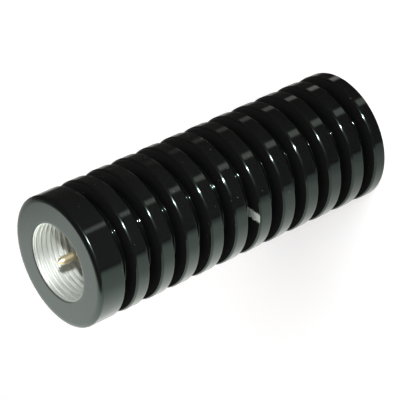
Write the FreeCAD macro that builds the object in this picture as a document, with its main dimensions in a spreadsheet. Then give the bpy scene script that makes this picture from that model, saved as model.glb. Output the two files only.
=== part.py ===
"""Finned coaxial terminator.

A turned aluminium body screws onto a connector with a 5/8-24 thread. It is the heat sink and the
ground of a film resistor, which joins the centre contact to the body.

Frame: +Z runs along the axis, from the plain rear end up to the mouth of the threaded socket.
The origin is the centre of the rear face, on which the terminator stands. Sizes in millimetres.
"""

import FreeCAD, Part
import os

import Sketcher
from FreeCAD import Vector

# Driving sizes. Each one is a cell of the sheet, under the name that it has here.
SIZES = {
    # outside of the heat sink
    "outer_diameter": 25.4,
    "collar_length": 5.42,
    "first_groove_width": 2.64,
    "groove_width": 2.88,
    "fin_thickness": 2.88,
    "groove_count": 11,
    "rear_land_length": 2.6,
    "first_groove_depth": 3.2,
    "groove_depth": 3.5,
    "rim_round": 0.5,
    "front_bevel_width": 1.1,
    "front_bevel_length": 0.2,
    # threaded socket: 5/8-24 UNEF, bored to the thread's minor diameter
    "thread_minor_diameter": 14.85,
    "thread_length": 10.0,
    "relief_depth": 0.625,
    "relief_length": 1.0,
    "mouth_chamfer": 0.25,
    # insulating beads behind the socket, and the ring that clamps them
    "shoulder_width": 0.8,
    "front_bead_length": 2.6,
    "rear_bead_length": 2.4,
    "clamp_ring_length": 2.0,
    "clamp_ring_wall": 1.8,
    "notch_width": 1.4,
    "notch_depth": 0.8,
    "notch_count": 4,
    # centre contact
    "pin_recess": 0.1,
    "pin_tip_diameter": 1.6,
    "pin_tip_length": 6.4,
    "pin_point_diameter": 0.4,
    "pin_point_length": 1.3,
    "pin_shank_diameter": 3.04,
    "pin_flange_width": 0.98,
    "pin_flange_length": 1.2,
    "pin_tail_diameter": 2.0,
    "pin_tail_reach": 2.6,
    # resistor and its two end caps
    "rod_diameter": 7.0,
    "rod_length": 30.0,
    "rod_wall": 2.0,
    "cap_wall": 0.4,
    "cap_floor": 1.0,
    "cap_skirt": 4.0,
    "boss_wall": 0.85,
    "boss_neck_length": 1.8,
    # what else stands in the chamber behind the beads
    "sleeve_wall": 1.45,
    "ground_disc_length": 1.2,
    "spring_width": 2.5,
    "spring_thickness": 0.5,
    "spring_cone_height": 0.25,
    "spring_count": 4,
    # clearances, all measured on the radius or along the axis
    "slide_gap": 0.05,
    "sleeve_gap": 0.1,
    "spring_gap": 0.4,
    "solder_gap": 0.05,
    "solder_fillet": 0.6,
}

SHEET = "Dims"
AXIS = "0"
FULL_TURN = 360.0
# how far a cut reaches past the metal that it takes away
CUT_MARGIN = "1"
# how far an edge may lie from the circle that it is looked up by
EDGE_MATCH = 1.0e-4

document = FreeCAD.newDocument("CoaxialTerminator")


def make_sheet():
    """Puts the driving sizes into a sheet, one to a row, each under its own alias."""
    sheet = document.addObject("Spreadsheet::Sheet", SHEET)
    for row, (alias, value) in enumerate(SIZES.items(), start=1):
        sheet.set(f"A{row}", alias)
        sheet.set(f"B{row}", str(value))
        sheet.setAlias(f"B{row}", alias)
    document.recompute()
    return sheet


def cell(alias):
    """The expression that reads one driving size."""
    return f"{SHEET}.{alias}"


def half(alias):
    """The expression for half a driving size, which turns a diameter into a radius."""
    return f"({cell(alias)} / 2)"


def total(*terms):
    """The expression for the sum of expressions."""
    return "(" + " + ".join(terms) + ")"


def less(first, *others):
    """The expression for the first expression less all the others."""
    return "(" + " - ".join((first,) + others) + ")"


def times(factor, term):
    """The expression for one expression times another."""
    return f"({factor} * {term})"


def value_of(expression):
    """The number that an expression has now."""
    return float(document.getObject(SHEET).evalExpression(expression))


# Heights of the outside, counted up from the rear face.
PITCH = total(cell("groove_width"), cell("fin_thickness"))
FIRST_GROOVE = total(
    cell("rear_land_length"),
    times(less(cell("groove_count"), "1"), PITCH),
)
MOUTH = total(FIRST_GROOVE, cell("first_groove_width"), cell("collar_length"))

# Heights of the inside, counted down from the mouth. The rear wall of the body is what is left.
THREAD_END = less(MOUTH, cell("thread_length"))
SOCKET_FLOOR = less(THREAD_END, cell("relief_length"))
FRONT_BEAD_TOP = less(SOCKET_FLOOR, cell("clamp_ring_length"))
FLANGE_BOTTOM = less(FRONT_BEAD_TOP, cell("front_bead_length"))
BEAD_SHOULDER = less(FLANGE_BOTTOM, cell("rear_bead_length"))
BOSS_TOP = less(BEAD_SHOULDER, cell("solder_fillet"))
TAIL_END = less(BOSS_TOP, cell("pin_tail_reach"))
CAP_TOP = less(TAIL_END, cell("boss_neck_length"))
ROD_TOP = less(CAP_TOP, cell("cap_floor"))
ROD_BOTTOM = less(ROD_TOP, cell("rod_length"))
DISC_TOP = less(ROD_BOTTOM, cell("cap_floor"))
DISC_BOTTOM = less(DISC_TOP, cell("ground_disc_length"))
SPRING_HEIGHT = total(cell("spring_thickness"), cell("spring_cone_height"))
CHAMBER_FLOOR = less(DISC_BOTTOM, times(cell("spring_count"), SPRING_HEIGHT))
PIN_TIP = less(MOUTH, cell("pin_recess"))
PIN_STEP = less(PIN_TIP, cell("pin_tip_length"))
FLANGE_TOP = total(FLANGE_BOTTOM, cell("pin_flange_length"))

# Radii, each worked out from the piece inside it: the resistor sets the chamber, and the chamber
# sets the seat of the beads.
CAP_RADIUS = total(half("rod_diameter"), cell("cap_wall"))
SLEEVE_BORE = total(CAP_RADIUS, cell("slide_gap"))
SLEEVE_RADIUS = total(SLEEVE_BORE, cell("sleeve_wall"))
CHAMBER_RADIUS = total(SLEEVE_RADIUS, cell("sleeve_gap"))
DISC_RADIUS = less(CHAMBER_RADIUS, cell("slide_gap"))
SPRING_RADIUS = less(CHAMBER_RADIUS, cell("spring_gap"))
SEAT_RADIUS = total(CHAMBER_RADIUS, cell("shoulder_width"))
BEAD_RADIUS = less(SEAT_RADIUS, cell("slide_gap"))
RELIEF_RADIUS = total(half("thread_minor_diameter"), cell("relief_depth"))
FLANGE_RADIUS = total(half("pin_shank_diameter"), cell("pin_flange_width"))
TAIL_HOLE = total(half("pin_tail_diameter"), cell("solder_gap"))
BOSS_RADIUS = total(TAIL_HOLE, cell("boss_wall"))


def new_body(label):
    """An empty body, whose label names its file."""
    body = document.addObject("PartDesign::Body", "Body_" + label)
    body.Label = label
    return body


def new_sketch(body, name, role):
    """An empty sketch on one of the body's own origin planes."""
    sketch = body.newObject("Sketcher::SketchObject", name)
    plane = next(f for f in body.Origin.OriginFeatures if f.Role == role)
    sketch.AttachmentSupport = [(plane, "")]
    sketch.MapMode = "FlatFace"
    return sketch


def bind(sketch, name, expression, constraint):
    """Adds a dimension to a sketch under a name and ties it to an expression."""
    index = sketch.addConstraint(constraint)
    sketch.renameConstraint(index, name)
    sketch.setExpression("Constraints." + name, expression)


def place_corner(sketch, index, expression, direction, size):
    """Fixes how far corner number index lies from the sketch's origin, along X or Y."""
    if expression == AXIS:
        line = -2 if direction == "X" else -1
        sketch.addConstraint(Sketcher.Constraint("PointOnObject", index, 1, line))
        return
    name = f"corner_{index}_{direction}"
    constraint = Sketcher.Constraint("Distance" + direction, -1, 1, index, 1, size)
    bind(sketch, name, expression, constraint)


def half_section(body, name, corners):
    """A closed half section on the XZ plane, to be turned about the sketch's vertical axis.

    Each corner is a radius and a height, both expressions. Two neighbours with the same expression
    are joined by an upright or a level line and share its dimension.
    """
    sketch = new_sketch(body, name, "XZ_Plane")
    points = [Vector(value_of(radius), value_of(height), 0) for radius, height in corners]
    count = len(corners)
    for i in range(count):
        sketch.addGeometry(Part.LineSegment(points[i], points[(i + 1) % count]))
    for i in range(count):
        sketch.addConstraint(Sketcher.Constraint("Coincident", i, 2, (i + 1) % count, 1))
    for part, (direction, line) in enumerate((("X", "Vertical"), ("Y", "Horizontal"))):
        place_corner(sketch, 0, corners[0][part], direction, points[0][part])
        for i in range(1, count):
            if corners[i][part] == corners[i - 1][part]:
                sketch.addConstraint(Sketcher.Constraint(line, i - 1))
            elif i == count - 1 and corners[i][part] == corners[0][part]:
                sketch.addConstraint(Sketcher.Constraint(line, i))
            else:
                place_corner(sketch, i, corners[i][part], direction, points[i][part])
    return sketch


def turn(body, name, corners, kind="PartDesign::Revolution"):
    """Turns a half section about the axis. It adds material, or as a Groove cuts it away."""
    sketch = half_section(body, name + "_section", corners)
    feature = body.newObject(kind, name)
    feature.Profile = sketch
    feature.ReferenceAxis = (sketch, ["V_Axis"])
    feature.Angle = FULL_TURN
    document.recompute()
    return feature


def turned_body(label, corners):
    """A piece that is one turned half section."""
    body = new_body(label)
    turn(body, "turned", corners)
    return body


def ring_section(inner, outer, bottom, top):
    """The four corners of a plain ring's half section."""
    return [(inner, bottom), (outer, bottom), (outer, top), (inner, top)]


def groove_section(depth, width, bottom):
    """The half section that cuts a groove of that depth and width into the bar, open outside."""
    floor = less(half("outer_diameter"), cell(depth))
    outside = total(half("outer_diameter"), CUT_MARGIN)
    return ring_section(floor, outside, bottom, total(bottom, cell(width)))


def rim_edges(shape):
    """The names of the circular edges on the bar's outside, which are the rims of its lands."""
    radius = value_of(half("outer_diameter"))
    names = []
    for number, edge in enumerate(shape.Edges, start=1):
        curve = edge.Curve
        if isinstance(curve, Part.Circle) and abs(curve.Radius - radius) < EDGE_MATCH:
            names.append(f"Edge{number}")
    return names


def make_heat_sink():
    """The body: a bar with a collar, a row of fins, the socket and the chamber behind it."""
    body = new_body("heat_sink")
    outer = half("outer_diameter")
    turn(body, "bar", [
        (AXIS, AXIS),
        (outer, AXIS),
        (outer, less(MOUTH, cell("front_bevel_length"))),
        (less(outer, cell("front_bevel_width")), MOUTH),
        (AXIS, MOUTH),
    ])
    turn(body, "collar_groove",
         groove_section("first_groove_depth", "first_groove_width", FIRST_GROOVE),
         "PartDesign::Groove")

    second_groove = less(FIRST_GROOVE, PITCH)
    groove = turn(body, "fin_groove", groove_section("groove_depth", "groove_width", second_groove),
                  "PartDesign::Groove")
    row = body.newObject("PartDesign::LinearPattern", "fin_grooves")
    row.Originals = [groove]
    row.Direction = (groove.Profile[0], ["V_Axis"])
    row.Reversed = True
    row.setExpression("Length", times(less(cell("groove_count"), "2"), PITCH))
    row.setExpression("Occurrences", less(cell("groove_count"), "1"))
    body.Tip = row
    document.recompute()

    rims = body.newObject("PartDesign::Fillet", "rims")
    rims.Base = (row, rim_edges(row.Shape))
    rims.setExpression("Radius", cell("rim_round"))
    document.recompute()

    minor = half("thread_minor_diameter")
    mouth = total(minor, cell("mouth_chamfer"))
    above = total(MOUTH, CUT_MARGIN)
    bore = [
        (AXIS, CHAMBER_FLOOR),
        (CHAMBER_RADIUS, CHAMBER_FLOOR),
        (CHAMBER_RADIUS, BEAD_SHOULDER),
        (SEAT_RADIUS, BEAD_SHOULDER),
        (SEAT_RADIUS, SOCKET_FLOOR),
        (RELIEF_RADIUS, SOCKET_FLOOR),
        (RELIEF_RADIUS, THREAD_END),
        (minor, THREAD_END),
        (minor, less(MOUTH, cell("mouth_chamfer"))),
        (mouth, MOUTH),
        (mouth, above),
        (AXIS, above),
    ]
    turn(body, "bore", bore, "PartDesign::Groove")
    return body


def make_centre_pin():
    """The gold-plated contact: a point and a thin tip, a shank, a flange and a soldered tail."""
    tip = half("pin_tip_diameter")
    shank = half("pin_shank_diameter")
    tail = half("pin_tail_diameter")
    return turned_body("centre_pin", [
        (AXIS, TAIL_END),
        (tail, TAIL_END),
        (tail, FLANGE_BOTTOM),
        (FLANGE_RADIUS, FLANGE_BOTTOM),
        (FLANGE_RADIUS, FLANGE_TOP),
        (shank, FLANGE_TOP),
        (shank, PIN_STEP),
        (tip, PIN_STEP),
        (tip, less(PIN_TIP, cell("pin_point_length"))),
        (half("pin_point_diameter"), PIN_TIP),
        (AXIS, PIN_TIP),
    ])


def make_front_bead():
    """The front insulating bead, bored for the shank and counterbored for the flange."""
    shank = half("pin_shank_diameter")
    flange = total(FLANGE_RADIUS, cell("slide_gap"))
    return turned_body("front_bead", [
        (flange, FLANGE_BOTTOM),
        (BEAD_RADIUS, FLANGE_BOTTOM),
        (BEAD_RADIUS, FRONT_BEAD_TOP),
        (shank, FRONT_BEAD_TOP),
        (shank, FLANGE_TOP),
        (flange, FLANGE_TOP),
    ])


def make_rear_bead():
    """The rear insulating bead, between the flange and the shoulder of the chamber."""
    tail = half("pin_tail_diameter")
    return turned_body("rear_bead", ring_section(tail, BEAD_RADIUS, BEAD_SHOULDER, FLANGE_BOTTOM))


def make_clamp_ring():
    """The ring that clamps the beads, with notches in its front face for a spanner."""
    body = new_body("clamp_ring")
    inner = less(SEAT_RADIUS, cell("clamp_ring_wall"))
    turn(body, "ring", ring_section(inner, SEAT_RADIUS, FRONT_BEAD_TOP, SOCKET_FLOOR))

    sketch = new_sketch(body, "notch_section", "XZ_Plane")
    half_width = value_of(half("notch_width"))
    floor = value_of(less(SOCKET_FLOOR, cell("notch_depth")))
    top = value_of(total(SOCKET_FLOOR, CUT_MARGIN))
    corners = [
        Vector(-half_width, floor, 0),
        Vector(half_width, floor, 0),
        Vector(half_width, top, 0),
        Vector(-half_width, top, 0),
    ]
    for i in range(len(corners)):
        sketch.addGeometry(Part.LineSegment(corners[i], corners[(i + 1) % len(corners)]))
    for i in range(len(corners)):
        sketch.addConstraint(Sketcher.Constraint("Coincident", i, 2, (i + 1) % len(corners), 1))
    # the floor is level because its two ends mirror each other across the axis
    sketch.addConstraint(Sketcher.Constraint("Symmetric", 0, 1, 0, 2, -2))
    sketch.addConstraint(Sketcher.Constraint("Vertical", 1))
    sketch.addConstraint(Sketcher.Constraint("Horizontal", 2))
    sketch.addConstraint(Sketcher.Constraint("Vertical", 3))
    bind(sketch, "width", cell("notch_width"),
         Sketcher.Constraint("DistanceX", 0, 1, 0, 2, 2 * half_width))
    bind(sketch, "floor", less(SOCKET_FLOOR, cell("notch_depth")),
         Sketcher.Constraint("DistanceY", -1, 1, 0, 1, floor))
    bind(sketch, "top", total(SOCKET_FLOOR, CUT_MARGIN),
         Sketcher.Constraint("DistanceY", -1, 1, 2, 1, top))

    notch = body.newObject("PartDesign::Pocket", "notch")
    notch.Profile = sketch
    notch.setExpression("Length", total(SEAT_RADIUS, CUT_MARGIN))
    document.recompute()

    notches = body.newObject("PartDesign::PolarPattern", "notches")
    notches.Originals = [notch]
    notches.Axis = (sketch, ["V_Axis"])
    notches.Angle = FULL_TURN
    notches.setExpression("Occurrences", cell("notch_count"))
    body.Tip = notches
    document.recompute()
    return body


def make_front_terminal():
    """The plated cap on the resistor's front end, with a drilled boss for the pin's tail."""
    rod = half("rod_diameter")
    skirt = less(ROD_TOP, cell("cap_skirt"))
    return turned_body("front_terminal", [
        (rod, skirt),
        (CAP_RADIUS, skirt),
        (CAP_RADIUS, CAP_TOP),
        (BOSS_RADIUS, CAP_TOP),
        (BOSS_RADIUS, BOSS_TOP),
        (TAIL_HOLE, BOSS_TOP),
        (TAIL_HOLE, TAIL_END),
        (AXIS, TAIL_END),
        (AXIS, ROD_TOP),
        (rod, ROD_TOP),
    ])


def make_pin_solder():
    """The solder round the pin's tail: it fills the drilled boss and stands on it in a cone."""
    tail = half("pin_tail_diameter")
    return turned_body("pin_solder", [
        (tail, TAIL_END),
        (TAIL_HOLE, TAIL_END),
        (TAIL_HOLE, BOSS_TOP),
        (BOSS_RADIUS, BOSS_TOP),
        (TAIL_HOLE, BEAD_SHOULDER),
        (tail, BEAD_SHOULDER),
    ])


def make_resistor_rod():
    """The resistor: a ceramic tube with its film fired on."""
    outer = half("rod_diameter")
    inner = less(outer, cell("rod_wall"))
    return turned_body("resistor_rod", ring_section(inner, outer, ROD_BOTTOM, ROD_TOP))


def make_rear_terminal():
    """The plated cap on the resistor's rear end, which stands on the ground disc."""
    rod = half("rod_diameter")
    skirt = total(ROD_BOTTOM, cell("cap_skirt"))
    return turned_body("rear_terminal", [
        (AXIS, DISC_TOP),
        (CAP_RADIUS, DISC_TOP),
        (CAP_RADIUS, skirt),
        (rod, skirt),
        (rod, ROD_BOTTOM),
        (AXIS, ROD_BOTTOM),
    ])


def make_thermal_sleeve():
    """The ceramic sleeve that carries the resistor's heat to the body."""
    section = ring_section(SLEEVE_BORE, SLEEVE_RADIUS, DISC_TOP, CAP_TOP)
    return turned_body("thermal_sleeve", section)


def make_ground_disc():
    """The brass disc between the rear cap and the springs."""
    return turned_body("ground_disc", ring_section(AXIS, DISC_RADIUS, DISC_BOTTOM, DISC_TOP))


def make_disc_spring(number):
    """One of the conical disc springs, counted up from the chamber's floor.

    They lie in series: the odd ones rise towards the axis, and the even ones are turned over.
    """
    bottom = total(CHAMBER_FLOOR, times(str(number - 1), SPRING_HEIGHT))
    raised = total(bottom, cell("spring_cone_height"))
    inner = less(SPRING_RADIUS, cell("spring_width"))
    high, low = (inner, SPRING_RADIUS) if number % 2 else (SPRING_RADIUS, inner)
    corners = [
        (low, bottom),
        (low, total(bottom, cell("spring_thickness"))),
        (high, total(raised, cell("spring_thickness"))),
        (high, raised),
    ]
    return turned_body(f"disc_spring_{number}", corners)


def check_document():
    """Stops the build where an object failed or where it holds an empty or broken shape."""
    for item in document.Objects:
        if "Invalid" in item.State or "Error" in item.State:
            raise RuntimeError(f"{item.Label}: {item.State}")
        if item.isDerivedFrom("PartDesign::Body"):
            shape = item.Shape
            if shape.isNull() or not shape.isValid() or len(shape.Solids) != 1:
                raise RuntimeError(f"{item.Label}: its shape isn't one valid solid")


def main():
    """Builds every piece, checks the document and writes one file for each piece."""
    make_sheet()
    bodies = [
        make_heat_sink(),
        make_centre_pin(),
        make_clamp_ring(),
        make_front_bead(),
        make_rear_bead(),
        make_front_terminal(),
        make_pin_solder(),
        make_resistor_rod(),
        make_rear_terminal(),
        make_thermal_sleeve(),
        make_ground_disc(),
    ]
    spring_count = round(value_of(cell("spring_count")))
    for number in range(1, spring_count + 1):
        bodies.append(make_disc_spring(number))
    document.recompute()
    check_document()

    os.makedirs("parts", exist_ok=True)
    for body in bodies:
        body.Shape.exportStep(f"parts/{body.Label}.step")
        print(f"{body.Label}: {body.Shape.Volume:.2f} mm3")
    print(f"overall length {value_of(MOUTH):.3f}, rear wall {value_of(CHAMBER_FLOOR):.3f}")


main()
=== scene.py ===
# %% [markdown]
# A finned coaxial terminator
#
# The object is a plug that ends a radio line: it takes in the signal and turns it into heat.
# A bar of aluminium, one inch thick, is turned with grooves so that fins stand between them. Its
# front end holds a threaded socket with a gold-plated contact on the axis, and a resistor sits deep
# inside. The CAD model gives every solid at its real size. This lesson dresses it in Blender: it
# gives the body its soft rims and its real thread, gives the contact its turned tip, and builds each
# finish from nodes. The model stands on its rear face with the socket up, and Blender works in metres.

# %% Load the CAD model as a fixed frame
import math

import bpy
from mathutils import Matrix, Vector


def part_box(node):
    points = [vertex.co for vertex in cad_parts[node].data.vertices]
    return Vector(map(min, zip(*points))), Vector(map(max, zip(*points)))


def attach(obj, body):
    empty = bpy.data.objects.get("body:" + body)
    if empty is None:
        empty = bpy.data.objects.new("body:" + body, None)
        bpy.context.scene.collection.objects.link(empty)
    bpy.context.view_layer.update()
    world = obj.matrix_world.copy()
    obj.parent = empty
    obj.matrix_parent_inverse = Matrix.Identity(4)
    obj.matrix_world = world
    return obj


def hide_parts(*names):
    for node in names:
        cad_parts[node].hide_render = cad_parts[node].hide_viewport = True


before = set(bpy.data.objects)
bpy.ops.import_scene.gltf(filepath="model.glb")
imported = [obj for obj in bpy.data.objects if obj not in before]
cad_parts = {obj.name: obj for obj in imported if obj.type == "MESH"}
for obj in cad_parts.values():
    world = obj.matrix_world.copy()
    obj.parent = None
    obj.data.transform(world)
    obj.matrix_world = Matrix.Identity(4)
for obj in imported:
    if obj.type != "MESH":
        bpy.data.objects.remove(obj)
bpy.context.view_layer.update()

print("CAD nodes:", ", ".join(sorted(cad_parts)))

# %% [markdown]
# The sizes of the body
#
# A turned part is drawn as its section, so a few lengths along the bar and a few radii say it all.
# The bar's length and radius are read from the frame, because the CAD model rules them. The lengths
# of the collar, the fins and the grooves are given here. Depths are measured from the front face and
# become heights where the section is built. The front edge and the fins' front rims aren't quarter
# circles: their size across is measured on the face, and their drop along the land. The grooving tool
# leaves a small nose radius at a groove's rear wall, and a fine ridge on its floor where its two passes
# meet.

# %% Sizes of the turned body
MM = 0.001

body_low, body_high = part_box("heat_sink")
LENGTH = body_high.z
OUTER_RADIUS = (body_high.x - body_low.x) / 2

COLLAR_LENGTH = 5.42 * MM
FIRST_GROOVE_WIDTH = 2.64 * MM
GROOVE_WIDTH = 2.88 * MM
FIN_THICKNESS = 2.88 * MM
GROOVE_COUNT = 11
FIRST_GROOVE_DEPTH = 3.2 * MM
GROOVE_DEPTH = 3.5 * MM
EDGE_ACROSS = 1.2 * MM
EDGE_DROP = 0.6 * MM
RIM_ACROSS = 0.26 * MM
RIM_DROP = 0.42 * MM
RIM_POWER = 1.5
BACK_ROUND = 0.2 * MM
TOOL_NOSE = 0.1 * MM
RIDGE_PLACE = 0.57 * MM
RIDGE_HALF = 0.08 * MM

FIN_STEP = GROOVE_WIDTH + FIN_THICKNESS


def fin_front(number):
    """Depth of a fin's front face below the body's front face. The fins count from 1."""
    return COLLAR_LENGTH + FIRST_GROOVE_WIDTH + (number - 1) * FIN_STEP


REAR_LAND_FRONT = fin_front(GROOVE_COUNT)
print(f"body {LENGTH / MM:.2f} mm long, radius {OUTER_RADIUS / MM:.3f} mm")
print(f"rear land {(LENGTH - REAR_LAND_FRONT) / MM:.2f} mm")

# %% [markdown]
# The socket
#
# The socket is bored, undercut at its floor so that the tap has room to run out, and tapped with a
# fine thread of 24 turns to the inch. Behind the floor are the seat of the insulating beads and the
# blind chamber of the resistor. The thread is the one form that the CAD model leaves out, so its pitch,
# its crest and its root are set here.

# %% Sizes of the socket and its thread
INCH = 25.4 * MM
THREAD_PITCH = INCH / 24
THREAD_CREST_RADIUS = 14.85 / 2 * MM
THREAD_ROOT_RADIUS = INCH * 5 / 8 / 2
THREAD_LENGTH = 10.0 * MM
MOUTH_CHAMFER = 0.25 * MM
MOUTH_ROUND = 0.45 * MM
RELIEF_RADIUS = THREAD_CREST_RADIUS + 0.625 * MM
RELIEF_LENGTH = 1.0 * MM
SEAT_RADIUS = 6.3 * MM
CHAMBER_RADIUS = 5.5 * MM

THREAD_END = LENGTH - THREAD_LENGTH
SOCKET_FLOOR = THREAD_END - RELIEF_LENGTH
SEAT_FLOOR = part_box("rear_bead")[0].z
CHAMBER_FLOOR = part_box("disc_spring_4")[0].z

thread_depth = THREAD_ROOT_RADIUS - THREAD_CREST_RADIUS
print(f"thread pitch {THREAD_PITCH / MM:.4f} mm, depth {thread_depth / MM:.3f} mm")
print(f"seat floor at {SEAT_FLOOR / MM:.2f} mm, chamber floor at {CHAMBER_FLOOR / MM:.2f} mm")

# %% [markdown]
# Rings: how the turned pieces are made
#
# A lathe shape could come from a curve with a Screw modifier, but then the socket could not hold a
# real helix. Here a piece is a row of rings from one pole on the axis to the other, each ring a circle
# of points, and neighbours are joined by quads. A ring's radius may be a number or a function of the
# angle, which is what lets a thread run round the wall. A ring marked as an edge keeps the crease that
# a turning tool leaves. Each ring also names the finish of the faces that follow it, because polish,
# file and tool leave the same bar with different skins.

# %% A helper that turns rings into a mesh
SEGMENTS = 192

# A finish is the number of its material on the body.
POLISHED = 0
SATIN = 1
TURNED = 2
FILED = 3
BARE = 4


def ring(radius, height, edge=False, finish=POLISHED):
    """One ring of a turned piece; finish is the material of the faces that follow it."""
    return {"radius": radius, "height": height, "edge": edge, "finish": finish}


def turned_mesh(name, rings, finishes):
    """A closed lathe piece. The first and last rings have radius 0 and become points on the axis."""
    points = [(0.0, 0.0, rings[0]["height"])]
    for one in rings[1:-1]:
        for step in range(SEGMENTS):
            angle = 2 * math.pi * step / SEGMENTS
            radius = one["radius"](angle) if callable(one["radius"]) else one["radius"]
            points.append((radius * math.cos(angle), radius * math.sin(angle), one["height"]))
    points.append((0.0, 0.0, rings[-1]["height"]))

    last = len(points) - 1
    faces = []
    face_finishes = []
    for number in range(len(rings) - 1):
        start = 1 + (number - 1) * SEGMENTS
        for step in range(SEGMENTS):
            after = (step + 1) % SEGMENTS
            if number == 0:
                faces.append((0, 1 + step, 1 + after))
            elif number == len(rings) - 2:
                faces.append((start + after, start + step, last))
            else:
                below = start + SEGMENTS
                faces.append((start + step, below + step, below + after, start + after))
            face_finishes.append(rings[number]["finish"])

    mesh = bpy.data.meshes.new(name)
    mesh.from_pydata(points, [], faces)
    for finish in finishes:
        mesh.materials.append(finish)
    mesh.polygons.foreach_set("material_index", face_finishes)
    mesh.polygons.foreach_set("use_smooth", [True] * len(faces))

    edge_rings = {number for number, one in enumerate(rings) if one["edge"]}
    for edge in mesh.edges:
        first, second = ((vertex - 1) // SEGMENTS + 1 for vertex in edge.vertices)
        edge.use_edge_sharp = first == second and first in edge_rings
    mesh.update()
    piece = bpy.data.objects.new(name, mesh)
    bpy.context.scene.collection.objects.link(piece)
    return piece


print(f"one ring has {SEGMENTS} points")

# %% [markdown]
# Rims and grooves
#
# Every land of the bar has the same two rims, and every groove the same floor, so each is a function
# that gives its rings at a depth. A bevel modifier could round the rims, but it would round the thread
# too. A rim gets a holding ring on each side of its arc, so that the flats beside it stay flat in the
# reflections. A file breaks a rim rather than rounds it, so a front rim raises the sine and the cosine
# of its arc to a power, which flattens it towards a bevel.

# %% Rings of the rims and the groove floors
HOLD = 0.03 * MM
ARC_STEPS = 5
EDGE_STEPS = 10
NOSE_STEPS = 2


def front_rim(
    face_depth, across=RIM_ACROSS, drop=RIM_DROP, power=RIM_POWER, steps=ARC_STEPS, finish=SATIN
):
    """The rings of a land's front rim, from the face over the arc to the land."""
    centre = LENGTH - face_depth - drop
    rings = [ring(OUTER_RADIUS - across - HOLD, LENGTH - face_depth, finish=finish)]
    for step in range(steps + 1):
        turn = math.radians(90) * step / steps
        radius = OUTER_RADIUS - across + across * math.sin(turn) ** power
        rings.append(ring(radius, centre + drop * math.cos(turn) ** power, finish=finish))
    rings[-1]["finish"] = POLISHED
    rings.append(ring(OUTER_RADIUS, centre - HOLD, finish=POLISHED))
    return rings


def back_rim(face_depth, face_finish=TURNED):
    """The rings of a land's rear rim, from the land over the arc to the face."""
    centre = LENGTH - face_depth + BACK_ROUND
    rings = [ring(OUTER_RADIUS, centre + HOLD, finish=POLISHED)]
    for step in range(ARC_STEPS + 1):
        turn = math.radians(90) * step / ARC_STEPS
        radius = OUTER_RADIUS - BACK_ROUND + BACK_ROUND * math.cos(turn)
        rings.append(ring(radius, centre - BACK_ROUND * math.sin(turn), finish=SATIN))
    rings[-1]["finish"] = face_finish
    rings.append(ring(OUTER_RADIUS - BACK_ROUND - HOLD, LENGTH - face_depth, finish=face_finish))
    return rings


def groove_floor(depth, floor_radius, width):
    """The rings of a groove's floor, with the ridge and the small rounding that the tool leaves."""
    rings = [ring(floor_radius, LENGTH - depth, True, TURNED)]
    rear = LENGTH - depth - width
    for offset, rise in ((RIDGE_HALF, 0.0), (0.0, RIDGE_HALF), (-RIDGE_HALF, 0.0)):
        rings.append(ring(floor_radius + rise, rear + RIDGE_PLACE + offset, rise == 0.0, POLISHED))
    rings[-1]["finish"] = TURNED
    for step in range(NOSE_STEPS + 1):
        turn = math.radians(90) * step / NOSE_STEPS
        radius = floor_radius + TOOL_NOSE * (1 - math.cos(turn))
        height = rear + TOOL_NOSE * (1 - math.sin(turn))
        rings.append(ring(radius, height, step in (0, NOSE_STEPS), POLISHED))
    rings[-1]["finish"] = TURNED
    return rings


print(f"a front rim has {len(front_rim(0))} rings, a rear rim {len(back_rim(0))}")

# %% [markdown]
# Colours and nodes
#
# A colour is written as the sRGB value that a screen shows, and Blender's sockets want linear light,
# so one function turns the one into the other. A second function adds a node with its settings and
# links, which keeps each finish short enough to read. What goes into a socket is a plain value, another
# node's output, or another node, which stands for its first output. Every finish starts from the place
# of the point on the object in millimetres, so a pattern's scale is a real size. A soft band, which
# is 1 between two places and fades out beyond them, later cuts out a mark, a pool of light and a lamp.

# %% Helpers for colours and nodes
def linear(hex_colour):
    """An sRGB colour such as c0c0c0 as linear red, green, blue and alpha."""
    channels = [int(hex_colour[at:at + 2], 16) / 255 for at in (0, 2, 4)]
    light = [c / 12.92 if c <= 0.04045 else ((c + 0.055) / 1.055) ** 2.4 for c in channels]
    return (*light, 1.0)


def add_node(tree, kind, inputs=None, **settings):
    """Adds a node. inputs gives a value, an output or a node for each input socket."""
    node = tree.nodes.new(kind)
    for name, value in settings.items():
        setattr(node, name, value)
    for socket, value in (inputs or {}).items():
        if isinstance(value, bpy.types.Node):
            value = value.outputs[0]
        if isinstance(value, bpy.types.NodeSocket):
            tree.links.new(value, node.inputs[socket])
        else:
            node.inputs[socket].default_value = value
    return node


def empty_material(name):
    """A new material and its node tree, which has no nodes yet."""
    finish = bpy.data.materials.new(name)
    finish.use_nodes = True
    finish.node_tree.nodes.clear()
    return finish, finish.node_tree


def new_finish(name):
    """A new material, its node tree, and the node that gives a point's place in millimetres."""
    finish, tree = empty_material(name)
    place = add_node(tree, "ShaderNodeTexCoord").outputs["Object"]
    in_mm = add_node(tree, "ShaderNodeVectorMath", {0: place, 1: (1 / MM,) * 3}, operation="MULTIPLY")
    return finish, tree, in_mm


def distance_from_axis(tree, place):
    """The point's radius in millimetres, for marks that run round the axis."""
    flat = add_node(tree, "ShaderNodeVectorMath", {0: place, 1: (1, 1, 0)}, operation="MULTIPLY")
    return add_node(tree, "ShaderNodeVectorMath", {0: flat}, operation="LENGTH").outputs["Value"]


def soft_band(tree, value, low, high, soft):
    """1 between low and high and 0 outside. Each end is soft over twice the width soft."""
    rise, fall = (
        add_node(
            tree, "ShaderNodeMapRange",
            {"Value": value, "From Min": end - slope, "From Max": end + slope},
            interpolation_type="SMOOTHSTEP",
        )
        for end, slope in ((low, soft), (high, -soft))
    )
    return add_node(tree, "ShaderNodeMath", {0: rise, 1: fall}, operation="MULTIPLY")


print("mid grey 808080 is", round(linear("808080")[0], 4), "in linear light")

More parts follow.
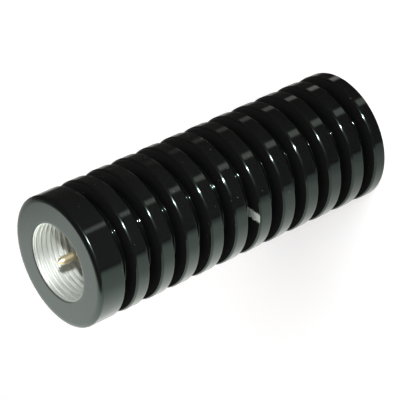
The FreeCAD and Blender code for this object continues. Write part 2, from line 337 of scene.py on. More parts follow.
# %% [markdown]
# The marks in the black film
#
# The turning marks run round the axis and show only as a faint ripple in the reflections. They could
# be cut into the mesh, but a wave in the shading costs nothing. Real marks are 0.05 mm apart, which is
# finer than the render can show, so they are drawn five times as coarse. A slow noise shifts them, so
# that they don't look ruled. Dust settles on the film in specks. They are the cores of the few Voronoi
# cells whose own colour is high.

# %% Turning marks and dust
DUST_CHOICE = (0.72, 0.73)
DUST_CORE = (0.09, 0.05)


def turning_marks(tree, place, radius, height):
    """Waves along the height on the lands and along the radius on the faces, as a sum of both."""
    along = add_node(tree, "ShaderNodeMath", {0: radius, 1: height}, operation="ADD")
    wobble = add_node(tree, "ShaderNodeTexNoise", {"Vector": place, "Scale": 0.35, "Detail": 2.0})
    shifted = add_node(tree, "ShaderNodeMath", {0: wobble, 1: 0.4, 2: along}, operation="MULTIPLY_ADD")
    return add_node(
        tree, "ShaderNodeTexNoise", {"W": shifted, "Scale": 4.0, "Detail": 3.0, "Roughness": 0.6},
        noise_dimensions="1D",
    )


def dust_specks(tree, place):
    """1 on specks of dust under a fifth of a millimetre, and 0 between them."""
    cells = add_node(tree, "ShaderNodeTexVoronoi", {"Vector": place, "Scale": 0.9, "Randomness": 1.0})
    chosen, core = (
        add_node(
            tree, "ShaderNodeMapRange",
            {"Value": cells.outputs[output], "From Min": limits[0], "From Max": limits[1]},
            interpolation_type="SMOOTHSTEP",
        )
        for output, limits in (("Color", DUST_CHOICE), ("Distance", DUST_CORE))
    )
    return add_node(tree, "ShaderNodeMath", {0: chosen, 1: core}, operation="MULTIPLY")


print(f"of all dust cells, those with a colour over {DUST_CHOICE[0]} hold a speck")

# %% [markdown]
# The rack mark
#
# In the bath the part hangs on a rack, and where the rack clamps it no film grows. The photograph shows
# one such spot: a bare strip on the front face of the sixth fin, with torn, ragged sides. It could be a
# patch of mesh of its own, but it has no thickness, so it is cut out of the finish: a band across the
# strip times a band at the height of that face. Torn metal scatters the light, so the spot is pale,
# patchy and rough, and mirrors nothing.

# %% Cut out the rack mark
NOISE_LOW = 0.3
NOISE_HIGH = 0.7
MARK_FIN = 6
MARK_HEIGHT = (LENGTH - fin_front(MARK_FIN)) / MM
MARK_ANGLE = math.radians(-129.2)
MARK_WIDTH = 1.8
MARK_RAGGED = 0.25


def rack_mark(tree, place, height):
    """1 on the bare strip and 0 everywhere else."""
    turned_back = add_node(
        tree, "ShaderNodeVectorRotate", {"Vector": place, "Angle": -MARK_ANGLE}, rotation_type="Z_AXIS"
    )
    on_mark = add_node(tree, "ShaderNodeSeparateXYZ", {0: turned_back})
    ragged = add_node(tree, "ShaderNodeTexNoise", {"Vector": place, "Scale": 2.2, "Detail": 3.0})
    shift = add_node(
        tree, "ShaderNodeMapRange",
        {
            "Value": ragged, "From Min": NOISE_LOW, "From Max": NOISE_HIGH,
            "To Min": -MARK_RAGGED, "To Max": MARK_RAGGED,
        },
        interpolation_type="SMOOTHSTEP",
    )
    sideways = add_node(tree, "ShaderNodeMath", {0: shift, 1: on_mark.outputs["Y"]}, operation="ADD")
    across = soft_band(tree, sideways, -MARK_WIDTH / 2, MARK_WIDTH / 2, 0.05)
    at_face = soft_band(tree, height, MARK_HEIGHT - 0.07, MARK_HEIGHT + 0.07, 0.02)
    strip = add_node(tree, "ShaderNodeMath", {0: across, 1: at_face}, operation="MULTIPLY")
    # The strip runs on through the axis, so only its half on the mark's side is taken.
    outward = add_node(
        tree, "ShaderNodeMapRange", {"Value": on_mark.outputs["X"]}, interpolation_type="SMOOTHSTEP"
    )
    return add_node(tree, "ShaderNodeMath", {0: strip, 1: outward}, operation="MULTIPLY")


def torn_metal(tree, place):
    """The patchy colour of the bare strip."""
    torn = add_node(tree, "ShaderNodeTexNoise", {"Vector": place, "Scale": 3.5, "Detail": 2.0})
    patchy = add_node(
        tree, "ShaderNodeMapRange", {"Value": torn, "From Min": 0.35, "From Max": 0.65},
        interpolation_type="SMOOTHSTEP",
    )
    return add_node(
        tree, "ShaderNodeMix", {"Factor": patchy, 6: linear("c4d2c8"), 7: linear("f8fff8")},
        data_type="RGBA",
    )


print(f"bare strip {MARK_WIDTH} mm wide at a height of {MARK_HEIGHT:.2f} mm")

# %% [markdown]
# Black anodised aluminium
#
# The body was turned bright, anodised in acid, dyed black and sealed. The film is a clear, hard oxide
# a few hundredths of a millimetre thick with the dye in its pores, so the eye sees a deep black that
# reflects like glass, and no metal at all. It is therefore a dielectric with the oxide's IOR, not a
# metal. The skin under the film decides how sharp the reflection is, so one function makes the finish
# of a polished, a filed and a turned skin from a few numbers.

# %% The finishes of the body
FILM_IOR = 1.65
FILM_TINT = "e2fff7"
DUST_COLOUR = "7c7e7a"
BARE_ROUGHNESS = 0.6


def make_black_anodised(name, black, rough, mark_depth, level=0.5):
    """Dyed oxide film on one kind of skin.

    rough is the range of its roughness, mark_depth the depth of its marks in millimetres, and level
    says how much of the film's mirror image is left.
    """
    finish, tree, place = new_finish(name)
    radius = distance_from_axis(tree, place)
    height = add_node(tree, "ShaderNodeSeparateXYZ", {0: place}).outputs["Z"]
    marks = turning_marks(tree, place, radius, height)
    bare = rack_mark(tree, place, height)

    dusted = add_node(
        tree, "ShaderNodeMix",
        {"Factor": dust_specks(tree, place), 6: linear(black), 7: linear(DUST_COLOUR)},
        data_type="RGBA",
    )
    coloured = add_node(
        tree, "ShaderNodeMix",
        {"Factor": bare, 6: dusted.outputs[2], 7: torn_metal(tree, place).outputs[2]},
        data_type="RGBA",
    )
    film_rough = add_node(
        tree, "ShaderNodeMapRange",
        {
            "Value": marks, "From Min": NOISE_LOW, "From Max": NOISE_HIGH,
            "To Min": rough[0], "To Max": rough[1],
        },
    )
    bare_rough = add_node(tree, "ShaderNodeMath", {0: bare, 1: BARE_ROUGHNESS}, operation="MULTIPLY")
    roughness = add_node(tree, "ShaderNodeMath", {0: film_rough, 1: bare_rough}, operation="MAXIMUM")
    bump = add_node(
        tree, "ShaderNodeBump", {"Height": marks, "Strength": 1.0, "Distance": mark_depth * MM}
    )

    surface = add_node(
        tree, "ShaderNodeBsdfPrincipled",
        {
            "Base Color": coloured.outputs[2], "Roughness": roughness, "Normal": bump, "IOR": FILM_IOR,
            "Specular IOR Level": level, "Specular Tint": linear(FILM_TINT),
        },
    )
    add_node(tree, "ShaderNodeOutputMaterial", {"Surface": surface})
    return finish


# The lands and both end faces were polished before the bath. The fins' rims were broken with a fine
# file, which leaves them satin, and the front edge with a coarser one. The grooves are as the tool left
# them: their torn skin swallows most of the light.
polished_film = make_black_anodised("black_anodised_aluminium", "0a0a0a", (0.035, 0.06), 0.001)
satin_film = make_black_anodised("satin_black_film", "0a0a0a", (0.1, 0.16), 0.003, level=0.4)
filed_film = make_black_anodised("filed_black_film", "0a0a0a", (0.17, 0.27), 0.004)
turned_film = make_black_anodised("turned_black_film", "181818", (0.55, 0.7), 0.01, level=0.04)
for one in (polished_film, satin_film, turned_film, filed_film):
    print("finish:", one.name)

# %% [markdown]
# Bare aluminium
#
# The thread and the bore were cut after anodising, or masked in the bath, because the body has to
# touch its connector metal to metal. A cut thread is bright but not a mirror: the tap leaves fine
# lines along the helix. It is a metal with a light grey colour and a middling roughness, and the
# lines are a noise stretched round the axis.

# %% The finish of the thread and the bore
def make_bare_aluminium():
    """Aluminium cut by a tap and a boring bar: light grey metal with fine lines round the axis."""
    finish, tree, place = new_finish("bare_aluminium")
    radius = distance_from_axis(tree, place)
    height = add_node(tree, "ShaderNodeSeparateXYZ", {0: place}).outputs["Z"]
    drawn_out = add_node(tree, "ShaderNodeCombineXYZ", {"X": radius, "Z": height})
    lines = add_node(tree, "ShaderNodeTexNoise", {"Vector": drawn_out, "Scale": 5.0, "Detail": 3.0})
    rough = add_node(
        tree, "ShaderNodeMapRange",
        {"Value": lines, "From Min": NOISE_LOW, "From Max": NOISE_HIGH, "To Min": 0.45, "To Max": 0.62},
    )
    bump = add_node(tree, "ShaderNodeBump", {"Height": lines, "Strength": 0.2, "Distance": 0.02 * MM})
    surface = add_node(
        tree, "ShaderNodeBsdfPrincipled",
        {"Base Color": linear("e8ece8"), "Metallic": 1.0, "Roughness": rough, "Normal": bump},
    )
    add_node(tree, "ShaderNodeOutputMaterial", {"Surface": surface})
    return finish


bare_aluminium = make_bare_aluminium()
print("finish:", bare_aluminium.name)

# %% [markdown]
# The body
#
# The rings run from the floor of the chamber outwards and up the socket, over the mouth, down the
# outside past every fin, and end at the middle of the rear face. The thread is a stack of rings a
# twentieth of a pitch apart: each point asks how far it is from the middle of a crest along the axis,
# and climbs the flank from there. The flanks stand at 60 degrees to each other, as in any inch thread.

# %% The thread's shape
THREAD_STEPS = 20
ROOT_FLAT = THREAD_PITCH / 8
FLANK_ANGLE = math.radians(30)

flank_length = thread_depth * math.tan(FLANK_ANGLE)
CREST_FLAT = THREAD_PITCH - ROOT_FLAT - 2 * flank_length
MOUTH_START = LENGTH - MOUTH_CHAMFER


def thread_radius(angle, height):
    """Radius of the tapped wall at an angle and a height. A right-hand thread climbs with the angle."""
    turns = (height - THREAD_END) / THREAD_PITCH - angle / (2 * math.pi)
    from_crest = abs(turns % 1.0 - 0.5) * THREAD_PITCH
    climb = (from_crest - CREST_FLAT / 2) / math.tan(FLANK_ANGLE)
    deepest = thread_depth * min((MOUTH_START - height) / THREAD_PITCH, 1.0)
    return THREAD_CREST_RADIUS + min(max(climb, 0.0), deepest)


def thread_ring(height, edge=False):
    """A ring of the tapped wall."""
    return ring(lambda angle: thread_radius(angle, height), height, edge, BARE)


print(f"crest flat {CREST_FLAT / MM:.3f} mm, {THREAD_LENGTH / THREAD_PITCH:.1f} turns")

# %% Build the body
def body_rings():
    """Every ring of the body, from the chamber's floor to the middle of the rear face."""
    rings = [
        ring(0.0, CHAMBER_FLOOR, finish=BARE),
        ring(CHAMBER_RADIUS, CHAMBER_FLOOR, True, BARE),
        ring(CHAMBER_RADIUS, SEAT_FLOOR, True, BARE),
        ring(SEAT_RADIUS, SEAT_FLOOR, True, BARE),
        ring(SEAT_RADIUS, SOCKET_FLOOR, True, BARE),
        ring(RELIEF_RADIUS, SOCKET_FLOOR, True, BARE),
        ring(RELIEF_RADIUS, THREAD_END, True, BARE),
    ]
    row_step = THREAD_PITCH / THREAD_STEPS
    row_count = math.ceil((THREAD_LENGTH - MOUTH_CHAMFER) / row_step)
    for row in range(row_count):
        rings.append(thread_ring(THREAD_END + row * row_step, edge=row == 0))
    rings.append(ring(THREAD_CREST_RADIUS, MOUTH_START, True, BARE))
    # The film covers the outer half of the mouth's bevel, and rounds it off.
    half_bevel = MOUTH_CHAMFER / 2
    film_radius = THREAD_CREST_RADIUS + half_bevel
    rings.append(ring(film_radius, LENGTH - half_bevel, True))
    for step in range(1, ARC_STEPS + 1):
        turn = math.radians(90) * step / ARC_STEPS
        radius = film_radius + MOUTH_ROUND * (1 - math.cos(turn))
        rings.append(ring(radius, LENGTH - half_bevel * (1 - math.sin(turn))))
    rings.append(ring(film_radius + MOUTH_ROUND + HOLD, LENGTH))

    rings += front_rim(0, EDGE_ACROSS, EDGE_DROP, power=1, steps=EDGE_STEPS, finish=FILED)
    depth = COLLAR_LENGTH
    for groove in range(GROOVE_COUNT):
        floor_radius = OUTER_RADIUS - (FIRST_GROOVE_DEPTH if groove == 0 else GROOVE_DEPTH)
        width = FIRST_GROOVE_WIDTH if groove == 0 else GROOVE_WIDTH
        rings += back_rim(depth)
        rings += groove_floor(depth, floor_radius, width)
        rings += front_rim(depth + width)
        depth += width + FIN_THICKNESS
    rings += back_rim(LENGTH, POLISHED)
    rings.append(ring(0.0, 0.0))
    return rings


body_finishes = [polished_film, satin_film, turned_film, filed_film, bare_aluminium]
body = turned_mesh("heat_sink_body", body_rings(), body_finishes)
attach(body, "root")
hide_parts("heat_sink")
print(f"{body.name}: {len(body.data.polygons)} faces")

# %% [markdown]
# Gold plate
#
# The contact is turned from brass or bronze, plated with nickel and then with a thin hard gold. Gold
# is a metal with a strong yellow colour of its own. In the photograph the flash bleaches it, so its two
# colours are paler here than gold in soft light. A plate over turned metal is hazy rather than a
# mirror, so its roughness is in the middle, and a faint noise drives both.

# %% The finish of the contact
def make_gold_plate():
    """Hard gold on nickel with a haze. Its two colours are paled towards white: a painted highlight of
    the flash.
    """
    finish, tree, place = new_finish("gold_plate")
    haze = add_node(tree, "ShaderNodeTexNoise", {"Vector": place, "Scale": 3.0, "Detail": 3.0})
    rough = add_node(
        tree, "ShaderNodeMapRange",
        {"Value": haze, "From Min": NOISE_LOW, "From Max": NOISE_HIGH, "To Min": 0.4, "To Max": 0.5},
    )
    # The two colours are paled towards white: a painted highlight of the flash on the gold.
    tint = add_node(
        tree, "ShaderNodeMix", {"Factor": haze, 6: linear("faf0d4"), 7: linear("f4e0b4")},
        data_type="RGBA",
    )
    surface = add_node(
        tree, "ShaderNodeBsdfPrincipled",
        {"Base Color": tint.outputs[2], "Metallic": 1.0, "Roughness": rough},
    )
    add_node(tree, "ShaderNodeOutputMaterial", {"Surface": surface})
    return finish


gold_plate = make_gold_plate()
print("finish:", gold_plate.name)

# %% [markdown]
# The centre contact
#
# It is turned in one piece: a tail that is soldered into the resistor's cap, a flange that the beads
# hold, a shank and a thin tip with a rounded point. The CAD model has the point as a plain cone, and
# here it is the bullet shape that a form tool leaves.

# %% Build the contact
pin_low, pin_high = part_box("centre_pin")
TAIL_RADIUS = 1.0 * MM
SHANK_RADIUS = 1.52 * MM
FLANGE_RADIUS = 2.5 * MM
TIP_RADIUS = 0.8 * MM
POINT_RADIUS = 0.2 * MM
POINT_LENGTH = 1.3 * MM
FLANGE_LENGTH = 1.2 * MM
TIP_LENGTH = 6.4 * MM
POINT_STEPS = 8

FLANGE_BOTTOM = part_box("rear_bead")[1].z
FLANGE_TOP = FLANGE_BOTTOM + FLANGE_LENGTH
PIN_STEP = pin_high.z - TIP_LENGTH


def contact_rings():
    """The rings of the contact from the end of its tail to its point."""
    rings = [
        ring(0.0, pin_high.z),
        ring(POINT_RADIUS, pin_high.z, True),
    ]
    for step in range(1, POINT_STEPS + 1):
        share = step / POINT_STEPS
        swell = math.sin(math.radians(90) * share)
        radius = POINT_RADIUS + (TIP_RADIUS - POINT_RADIUS) * swell
        rings.append(ring(radius, pin_high.z - POINT_LENGTH * share))
    rings += [
        ring(TIP_RADIUS, PIN_STEP, True),
        ring(SHANK_RADIUS, PIN_STEP, True),
        ring(SHANK_RADIUS, FLANGE_TOP, True),
        ring(FLANGE_RADIUS, FLANGE_TOP, True),
        ring(FLANGE_RADIUS, FLANGE_BOTTOM, True),
        ring(TAIL_RADIUS, FLANGE_BOTTOM, True),
        ring(TAIL_RADIUS, pin_low.z, True),
        ring(0.0, pin_low.z),
    ]
    return rings


contact = turned_mesh("centre_contact", contact_rings(), [gold_plate])
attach(contact, "root")
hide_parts("centre_pin")
print(f"{contact.name}: tip {2 * TIP_RADIUS / MM:.2f} mm thick")

# %% [markdown]
# The finishes inside
#
# The pieces behind the socket keep their CAD meshes, because a plain ring, tube or cap already has
# its true form, and get a finish each. They all differ from the two metals above in only a few
# numbers, so one short table gives each its colours, its roughness and the size of its pattern.

# %% Finishes of the inner pieces
def make_inner_finish(name, dark, light, metallic, rough, grain, ior=1.5):
    """A two-toned finish. grain is the size of its pattern in millimetres, rough is low and high."""
    finish, tree, place = new_finish(name)
    pattern = add_node(tree, "ShaderNodeTexNoise", {"Vector": place, "Scale": 1 / grain, "Detail": 4.0})
    tint = add_node(
        tree, "ShaderNodeMix", {"Factor": pattern, 6: linear(dark), 7: linear(light)}, data_type="RGBA"
    )
    roughness = add_node(
        tree, "ShaderNodeMapRange",
        {
            "Value": pattern, "From Min": NOISE_LOW, "From Max": NOISE_HIGH,
            "To Min": rough[0], "To Max": rough[1],
        },
    )
    bump = add_node(tree, "ShaderNodeBump", {"Height": pattern, "Strength": 0.15, "Distance": 0.03 * MM})
    surface = add_node(
        tree, "ShaderNodeBsdfPrincipled",
        {
            "Base Color": tint.outputs[2], "Metallic": metallic, "Roughness": roughness,
            "Normal": bump, "IOR": ior,
        },
    )
    add_node(tree, "ShaderNodeOutputMaterial", {"Surface": surface})
    return finish


# Turned brass shows a warm yellow and a soft shine, skived PTFE a milky white with a waxy shine, and
# nickel plate a cooler and brighter grey than the solder. Resistive film is a dark enamel-like coat,
# fired ceramic is matt and off-white, and spring steel is blued by its heat treatment.
brass = make_inner_finish("turned_brass", "a8834a", "c9a568", 1.0, (0.2, 0.35), 0.4)
ptfe = make_inner_finish("skived_ptfe", "e6e6e0", "f1f1ec", 0.0, (0.35, 0.5), 0.8, ior=1.36)
nickel = make_inner_finish("nickel_plate", "b3aea4", "c8c4bb", 1.0, (0.15, 0.28), 0.5)
solder = make_inner_finish("tin_solder", "a5a6a8", "c2c3c5", 1.0, (0.3, 0.5), 0.3)
film = make_inner_finish("resistive_film", "2a211b", "3a2e26", 0.0, (0.35, 0.5), 0.3, ior=1.55)
ceramic = make_inner_finish("fired_ceramic", "dcd8cc", "ebe8de", 0.0, (0.5, 0.7), 0.5, ior=1.76)
spring_steel = make_inner_finish("blued_spring_steel", "5c6068", "7a7e86", 1.0, (0.25, 0.4), 0.4)

INNER_FINISHES = {
    "clamp_ring": brass,
    "ground_disc": brass,
    "front_bead": ptfe,
    "rear_bead": ptfe,
    "front_terminal": nickel,
    "rear_terminal": nickel,
    "pin_solder": solder,
    "resistor_rod": film,
    "thermal_sleeve": ceramic,
}
for node_name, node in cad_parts.items():
    if node_name.startswith("disc_spring"):
        INNER_FINISHES[node_name] = spring_steel
    if node_name in INNER_FINISHES:
        node.data.materials.clear()
        node.data.materials.append(INNER_FINISHES[node_name])
print(f"{len(INNER_FINISHES)} inner pieces have their finish")

# %% [markdown]
# The camera
#
# The photograph was taken from in front of the socket, with the object lying on a white table and its
# axis across the frame. Here the object stands, so the camera is rolled instead: its own up runs
# across the axis. Its place and its turn were fitted to the outline of the body and the mouth.

# %% Place the camera
CAMERA_PLACE = Vector((4.312, -369.923, 270.049)) * MM
CAMERA_RIGHT = Vector((-0.408582, -0.492576, -0.768397)).normalized()
CAMERA_UP = Vector((0.912658, -0.210766, -0.350189)).normalized()
CAMERA_LENS = 212.427
SENSOR_WIDTH = 36
NEAREST = 10 * MM
FARTHEST = 10

camera_data = bpy.data.cameras.new("studio_camera")
camera_data.lens = CAMERA_LENS
camera_data.sensor_width = SENSOR_WIDTH
camera_data.clip_start = NEAREST
camera_data.clip_end = FARTHEST
camera = bpy.data.objects.new("studio_camera", camera_data)
camera_back = CAMERA_RIGHT.cross(CAMERA_UP).normalized()
turn = Matrix((CAMERA_RIGHT, CAMERA_UP, camera_back)).transposed()
camera.matrix_world = Matrix.Translation(CAMERA_PLACE) @ turn.to_4x4()
bpy.context.scene.collection.objects.link(camera)
bpy.context.scene.camera = camera
print(f"camera looks down by {math.degrees(math.asin(camera_back.z)):.1f} degrees")

# %% [markdown]
# The light
#
# The black film works as a dark mirror, so most of what the eye reads as its shape is a reflection,
# and a world that is white on every side would turn the body pale grey. In the photograph the object
# lies on a white sheet in a dark room. A flash beside the lens puts a spark on every rim. Soft lamps of
# the room show as pale patches. Here the object stands, so the sheet has to stand too: it is a card
# beside the body, touching it along the line it lay on, and only reflections see it. It could be a
# plain sheet that the lamps light, but a card that glows by its own formula can be fitted to what the
# photograph shows in the film. The room and its lamps are painted into the world by direction, because
# they are far away. To the camera itself the world is plain white, as the paper behind a product shot.

# %% Paint the light on the sheet
scene = bpy.context.scene
scene.view_settings.view_transform = "Standard"

FRONT_AT = LENGTH / MM
SHEET_COLOUR = "fefff9"
SHEET_LIGHT = 1.02
LEFT_REACH = 240
RIGHT_REACH = 145
POOL = {"from": -22.5, "to": 32.5, "soft": 9.5, "strength": 0.58}
REAR_SHADE = {"start": -5, "end": 45, "low": 0.61, "high": 0.95}


def sheet_strength(tree, place):
    """How bright the sheet glows at a place on it, in millimetres, with the body's shadow painted in."""
    parts = add_node(tree, "ShaderNodeSeparateXYZ", {0: place})
    side = parts.outputs["X"]
    height = parts.outputs["Y"]

    # Each slope goes softly from one level to another between two places on the sheet. The first three
    # end the body's painted shadow on its left, on its right and in front of it. Two push the painted
    # shade of the sheet's rear part back, and the last two paint the light in front of the body and its
    # fade.
    slopes = {}
    for name, way, start, end, low, high in (
        ("left clear", side, -1.3, -9.3, 0.06, 1.0),
        ("right clear", side, 16, 32, 0.06, 1.0),
        ("front clear", height, FRONT_AT - 6, FRONT_AT + 1, 0.0, 1.0),
        ("far lift", side, -16, -36, 0, 32),
        ("near lift", side, -14, -9, 0, 7),
        ("front light", height, FRONT_AT - 2, FRONT_AT + 2, 1.0, 1.1),
        ("front fade", height, FRONT_AT, FRONT_AT + 25, 1.0, 0.87),
    ):
        slopes[name] = add_node(
            tree, "ShaderNodeMapRange",
            {"Value": way, "From Min": start, "From Max": end, "To Min": low, "To Max": high},
            interpolation_type="SMOOTHSTEP",
        )

    # The glow is painted darker with the square of the distance from the object, on both sides, and
    # a painted pool of the flash's light makes it brighter close to the object.
    leftward = add_node(tree, "ShaderNodeMath", {0: side, 1: -1 / LEFT_REACH}, operation="MULTIPLY")
    rightward = add_node(tree, "ShaderNodeMath", {0: side, 1: 1 / RIGHT_REACH}, operation="MULTIPLY")
    away = add_node(tree, "ShaderNodeMath", {0: leftward, 1: rightward}, operation="MAXIMUM")
    fall = add_node(tree, "ShaderNodeMath", {0: away, 1: away, 2: 1.0}, operation="MULTIPLY_ADD")
    far = add_node(tree, "ShaderNodeMath", {0: SHEET_LIGHT, 1: fall}, operation="DIVIDE")
    pool = soft_band(tree, side, POOL["from"], POOL["to"], POOL["soft"])
    lit = add_node(
        tree, "ShaderNodeMath", {0: pool, 1: POOL["strength"], 2: far}, operation="MULTIPLY_ADD"
    )

    # A painted shadow lies where the body touches the paper and behind it. It ends in front of the body.
    beside = add_node(
        tree, "ShaderNodeMath", {0: slopes["left clear"], 1: slopes["right clear"]}, operation="MAXIMUM"
    )
    clear = add_node(tree, "ShaderNodeMath", {0: beside, 1: slopes["front clear"]}, operation="MAXIMUM")

    # A painted shade darkens the sheet's rear part too, and less so on the left.
    lift = add_node(
        tree, "ShaderNodeMath", {0: slopes["far lift"], 1: slopes["near lift"]}, operation="MAXIMUM"
    )
    raised = add_node(tree, "ShaderNodeMath", {0: height, 1: lift}, operation="ADD")
    rear = add_node(
        tree, "ShaderNodeMapRange",
        {
            "Value": raised, "From Min": REAR_SHADE["start"], "From Max": REAR_SHADE["end"],
            "To Min": REAR_SHADE["low"], "To Max": REAR_SHADE["high"],
        },
        interpolation_type="SMOOTHSTEP",
    )

    strength = lit
    for share in (clear, rear, slopes["front light"], slopes["front fade"]):
        strength = add_node(tree, "ShaderNodeMath", {0: strength, 1: share}, operation="MULTIPLY")
    return strength


print(f"the sheet's light changes most near {FRONT_AT:.0f} mm, at the body's front face")

# %% Stand the sheet beside the body
SHEET_AZIMUTH = math.radians(-38.2)
UP_IN_PHOTO = Vector((math.cos(SHEET_AZIMUTH), math.sin(SHEET_AZIMUTH), 0.0))
ALONG_SHEET = Vector((-math.sin(SHEET_AZIMUTH), math.cos(SHEET_AZIMUTH), 0.0))
SHEET_LEFT = -0.9
SHEET_RIGHT = 0.9
SHEET_REAR = -0.6
SHEET_AHEAD = 20 * MM
SHEET_SLANT = 0.15
SHEET_GAP = 0.05 * MM


def make_sheet():
    """The white sheet that the object lay on, seen in reflections only."""
    mesh = bpy.data.meshes.new("white_sheet")
    ahead = LENGTH + SHEET_AHEAD
    corners = (
        (SHEET_LEFT, SHEET_REAR, 0.0), (SHEET_RIGHT, SHEET_REAR, 0.0),
        (SHEET_RIGHT, ahead + SHEET_SLANT * SHEET_RIGHT, 0.0),
        (SHEET_LEFT, ahead + SHEET_SLANT * SHEET_LEFT, 0.0),
    )
    mesh.from_pydata(corners, [], [(0, 1, 2, 3)])
    card = bpy.data.objects.new("white_sheet", mesh)
    turn = Matrix((ALONG_SHEET, Vector((0, 0, 1)), UP_IN_PHOTO)).transposed()
    card.matrix_world = Matrix.Translation(-UP_IN_PHOTO * (OUTER_RADIUS + SHEET_GAP)) @ turn.to_4x4()
    scene.collection.objects.link(card)

    finish, tree, place = new_finish("painted_light_paper")
    strength = sheet_strength(tree, place)
    glow = add_node(tree, "ShaderNodeEmission", {"Color": linear(SHEET_COLOUR), "Strength": strength})
    add_node(tree, "ShaderNodeOutputMaterial", {"Surface": glow})
    mesh.materials.append(finish)
    card.visible_camera = False
    card.visible_diffuse = False
    card.visible_shadow = False
    return card


white_sheet = make_sheet()
print(f"{white_sheet.name}: {len(white_sheet.data.vertices)} corners, seen in reflections only")

# %% [markdown]
# The room
#
# The room could be a panorama picture, but a few lamps written as formulas can each be moved. It is
# painted by direction: by the azimuth round the standing object and by the height, which runs from -1
# below to 1 above. The film mirrors a different height at each place along the body, so a lamp
# can be moved, widened or strengthened from the collar to the rear end, as a lamp does that is near
# enough to be seen from another side by each fin. Every angle is in degrees, and a pair gives the value
# at the collar and the value at the rear end.

# %% Paint the room
LAMPS = (
    {"name": "window", "azimuth": (63.5, 51.5), "half": (3.0, 6.0), "soft": 6.0,
     "height": (-0.74, -0.46), "strength": 0.95, "growth": 0.0},
    {"name": "low lamp", "azimuth": (-6.5, -19.0), "half": (5.0, 5.5), "soft": 8.0,
     "height": (-0.82, -0.48), "strength": 1.1, "growth": 2.6},
    {"name": "strip", "azimuth": (92.0, 92.0), "half": (14.0, 14.0), "soft": 8.0,
     "height": (-0.3, 0.7), "strength": 0.3, "growth": 0.0},
)
LAMP_FADE = 0.04
COLLAR_MIRRORS = -0.49
REAR_MIRRORS = -0.60
ROOM_COLOUR = "fff2f0"
ROOM_FROM, ROOM_TO = -30, 75
ROOM_DARK, ROOM_PALE = 0.058, 0.138
ROOM_AT_COLLAR, ROOM_AT_REAR = 1.3, 0.8


def paint_room(tree, height, azimuth):
    """The dark room with its soft lamps."""
    # The film of the collar mirrors one height and that of the rear end another, so this goes from
    # 0 to 1 along the body.
    rearward = add_node(
        tree, "ShaderNodeMapRange",
        {"Value": height, "From Min": COLLAR_MIRRORS, "From Max": REAR_MIRRORS},
    )
    room_starts, room_ends = math.radians(ROOM_FROM), math.radians(ROOM_TO)
    dim, share = (
        add_node(
            tree, "ShaderNodeMapRange",
            {"Value": way, "From Min": start, "From Max": end, "To Min": low, "To Max": high},
            interpolation_type="SMOOTHSTEP",
        )
        for way, start, end, low, high in (
            (azimuth, room_starts, room_ends, ROOM_DARK, ROOM_PALE),
            (rearward, 0.0, 1.0, ROOM_AT_COLLAR, ROOM_AT_REAR),
        )
    )
    room = add_node(tree, "ShaderNodeMath", {0: dim, 1: share}, operation="MULTIPLY")
    for lamp in LAMPS:
        middle, half = (
            add_node(
                tree, "ShaderNodeMapRange",
                {"Value": rearward, "To Min": math.radians(pair[0]), "To Max": math.radians(pair[1])},
            )
            for pair in (lamp["azimuth"], lamp["half"])
        )
        off = add_node(tree, "ShaderNodeMath", {0: azimuth, 1: middle}, operation="SUBTRACT")
        away = add_node(tree, "ShaderNodeMath", {0: off}, operation="ABSOLUTE")
        inside = add_node(tree, "ShaderNodeMath", {0: half, 1: away}, operation="SUBTRACT")
        soft = math.radians(lamp["soft"]) / 2
        level = add_node(
            tree, "ShaderNodeMapRange", {"Value": inside, "From Min": -soft, "From Max": soft},
            interpolation_type="SMOOTHSTEP",
        )
        low, high = lamp["height"]
        upright = soft_band(tree, height, low, high, LAMP_FADE)
        shape = add_node(tree, "ShaderNodeMath", {0: level, 1: upright}, operation="MULTIPLY")
        grown = add_node(tree, "ShaderNodeMath", {0: rearward, 1: lamp["growth"]}, operation="POWER")
        patch = add_node(tree, "ShaderNodeMath", {0: shape, 1: grown}, operation="MULTIPLY")
        room = add_node(
            tree, "ShaderNodeMath", {0: patch, 1: lamp["strength"], 2: room}, operation="MULTIPLY_ADD"
        )
    return room


print("soft lamps in the room:", ", ".join(lamp["name"] for lamp in LAMPS))

# %% Build the world
def build_world():
    """The room by direction, and plain white for the camera."""
    world = bpy.data.worlds.new("studio")
    scene.world = world
    world.use_nodes = True
    tree = world.node_tree
    tree.nodes.clear()
    direction = add_node(tree, "ShaderNodeTexCoord").outputs["Generated"]
    parts = add_node(tree, "ShaderNodeSeparateXYZ", {0: direction})
    back = add_node(tree, "ShaderNodeMath", {0: parts.outputs["Y"], 1: -1.0}, operation="MULTIPLY")
    azimuth = add_node(tree, "ShaderNodeMath", {0: back, 1: parts.outputs["X"]}, operation="ARCTAN2")
    room = paint_room(tree, parts.outputs["Z"], azimuth)
    studio = add_node(tree, "ShaderNodeBackground", {"Color": linear(ROOM_COLOUR), "Strength": room})
    paper = add_node(tree, "ShaderNodeBackground", {"Color": (1, 1, 1, 1), "Strength": 1.0})
    seen = add_node(tree, "ShaderNodeLightPath").outputs["Is Camera Ray"]
    both = add_node(tree, "ShaderNodeMixShader", {0: seen, 1: studio, 2: paper})
    add_node(tree, "ShaderNodeOutputWorld", {"Surface": both})


build_world()
print("world built, seen by the camera as white:", scene.world.name)

# %% [markdown]
# The lamps
#
# Two lamps share the work. A large soft one lights the colours evenly and stays out of the
# reflections, because the film would show it as a pale patch that the photograph doesn't have. The
# flash is small and bright, and works in reflections only: it gives the sparks on the rims and the
# sheen in the socket.

# %% Add the lamps
FLASH_PLACE = Vector((80.0, -383.0, 244.8)) * MM
FLASH_SIZE = (24 * MM, 15 * MM)
FLASH_POWER = 2.6
SOFT_PLACE = Vector((150, -500, 650)) * MM
SOFT_SIZE = (600 * MM, 600 * MM)
SOFT_POWER = 5.0


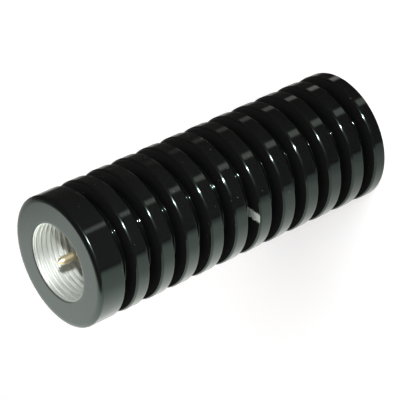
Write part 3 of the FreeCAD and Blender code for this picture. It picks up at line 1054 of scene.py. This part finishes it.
def make_lamp(name, place, size, power):
    """A rectangular lamp that points at the middle of the body."""
    data = bpy.data.lights.new(name, "AREA")
    data.shape = "RECTANGLE"
    data.size, data.size_y = size
    data.energy = power
    lamp = bpy.data.objects.new(name, data)
    lamp.location = place
    aim = Vector((0, 0, LENGTH / 2)) - place
    lamp.rotation_mode = "QUATERNION"
    lamp.rotation_quaternion = aim.to_track_quat("-Z", "Y")
    scene.collection.objects.link(lamp)
    print(f"{name}: {aim.length / MM:.0f} mm from the body")
    return lamp


flash = make_lamp("flash", FLASH_PLACE, FLASH_SIZE, FLASH_POWER)
flash.visible_diffuse = False
soft_lamp = make_lamp("soft_lamp", SOFT_PLACE, SOFT_SIZE, SOFT_POWER)
soft_lamp.visible_glossy = False

# %% [markdown]
# The floor
#
# A plain white floor lies under the object. It catches the shadow, and a little of its white is added
# for the camera alone, so it burns out to the paper white of the photograph except where the object
# shades it. Reflections skip it, because in the photograph they show the sheet at the body's side.

# %% Lay the floor
FLOOR_HALF = 0.6
FLOOR_COLOUR = "f4f4f4"
FLOOR_GLOW = 0.6


def make_floor():
    """A white floor that keeps the object's shadow."""
    mesh = bpy.data.meshes.new("floor")
    corners = [(-1, -1), (1, -1), (1, 1), (-1, 1)]
    mesh.from_pydata([(x * FLOOR_HALF, y * FLOOR_HALF, 0.0) for x, y in corners], [], [(0, 1, 2, 3)])
    sheet = bpy.data.objects.new("floor", mesh)
    scene.collection.objects.link(sheet)
    finish, tree = empty_material("white_floor")
    paper = add_node(tree, "ShaderNodeBsdfDiffuse", {"Color": linear(FLOOR_COLOUR)})
    glow = add_node(tree, "ShaderNodeEmission", {"Color": (1, 1, 1, 1), "Strength": FLOOR_GLOW})
    lit = add_node(tree, "ShaderNodeAddShader", {0: paper, 1: glow})
    seen = add_node(tree, "ShaderNodeLightPath").outputs["Is Camera Ray"]
    both = add_node(tree, "ShaderNodeMixShader", {0: seen, 1: paper, 2: lit})
    add_node(tree, "ShaderNodeOutputMaterial", {"Surface": both})
    mesh.materials.append(finish)
    sheet.visible_glossy = False
    return sheet


floor = make_floor()
print(f"{floor.name} {2 * FLOOR_HALF:.1f} m wide")
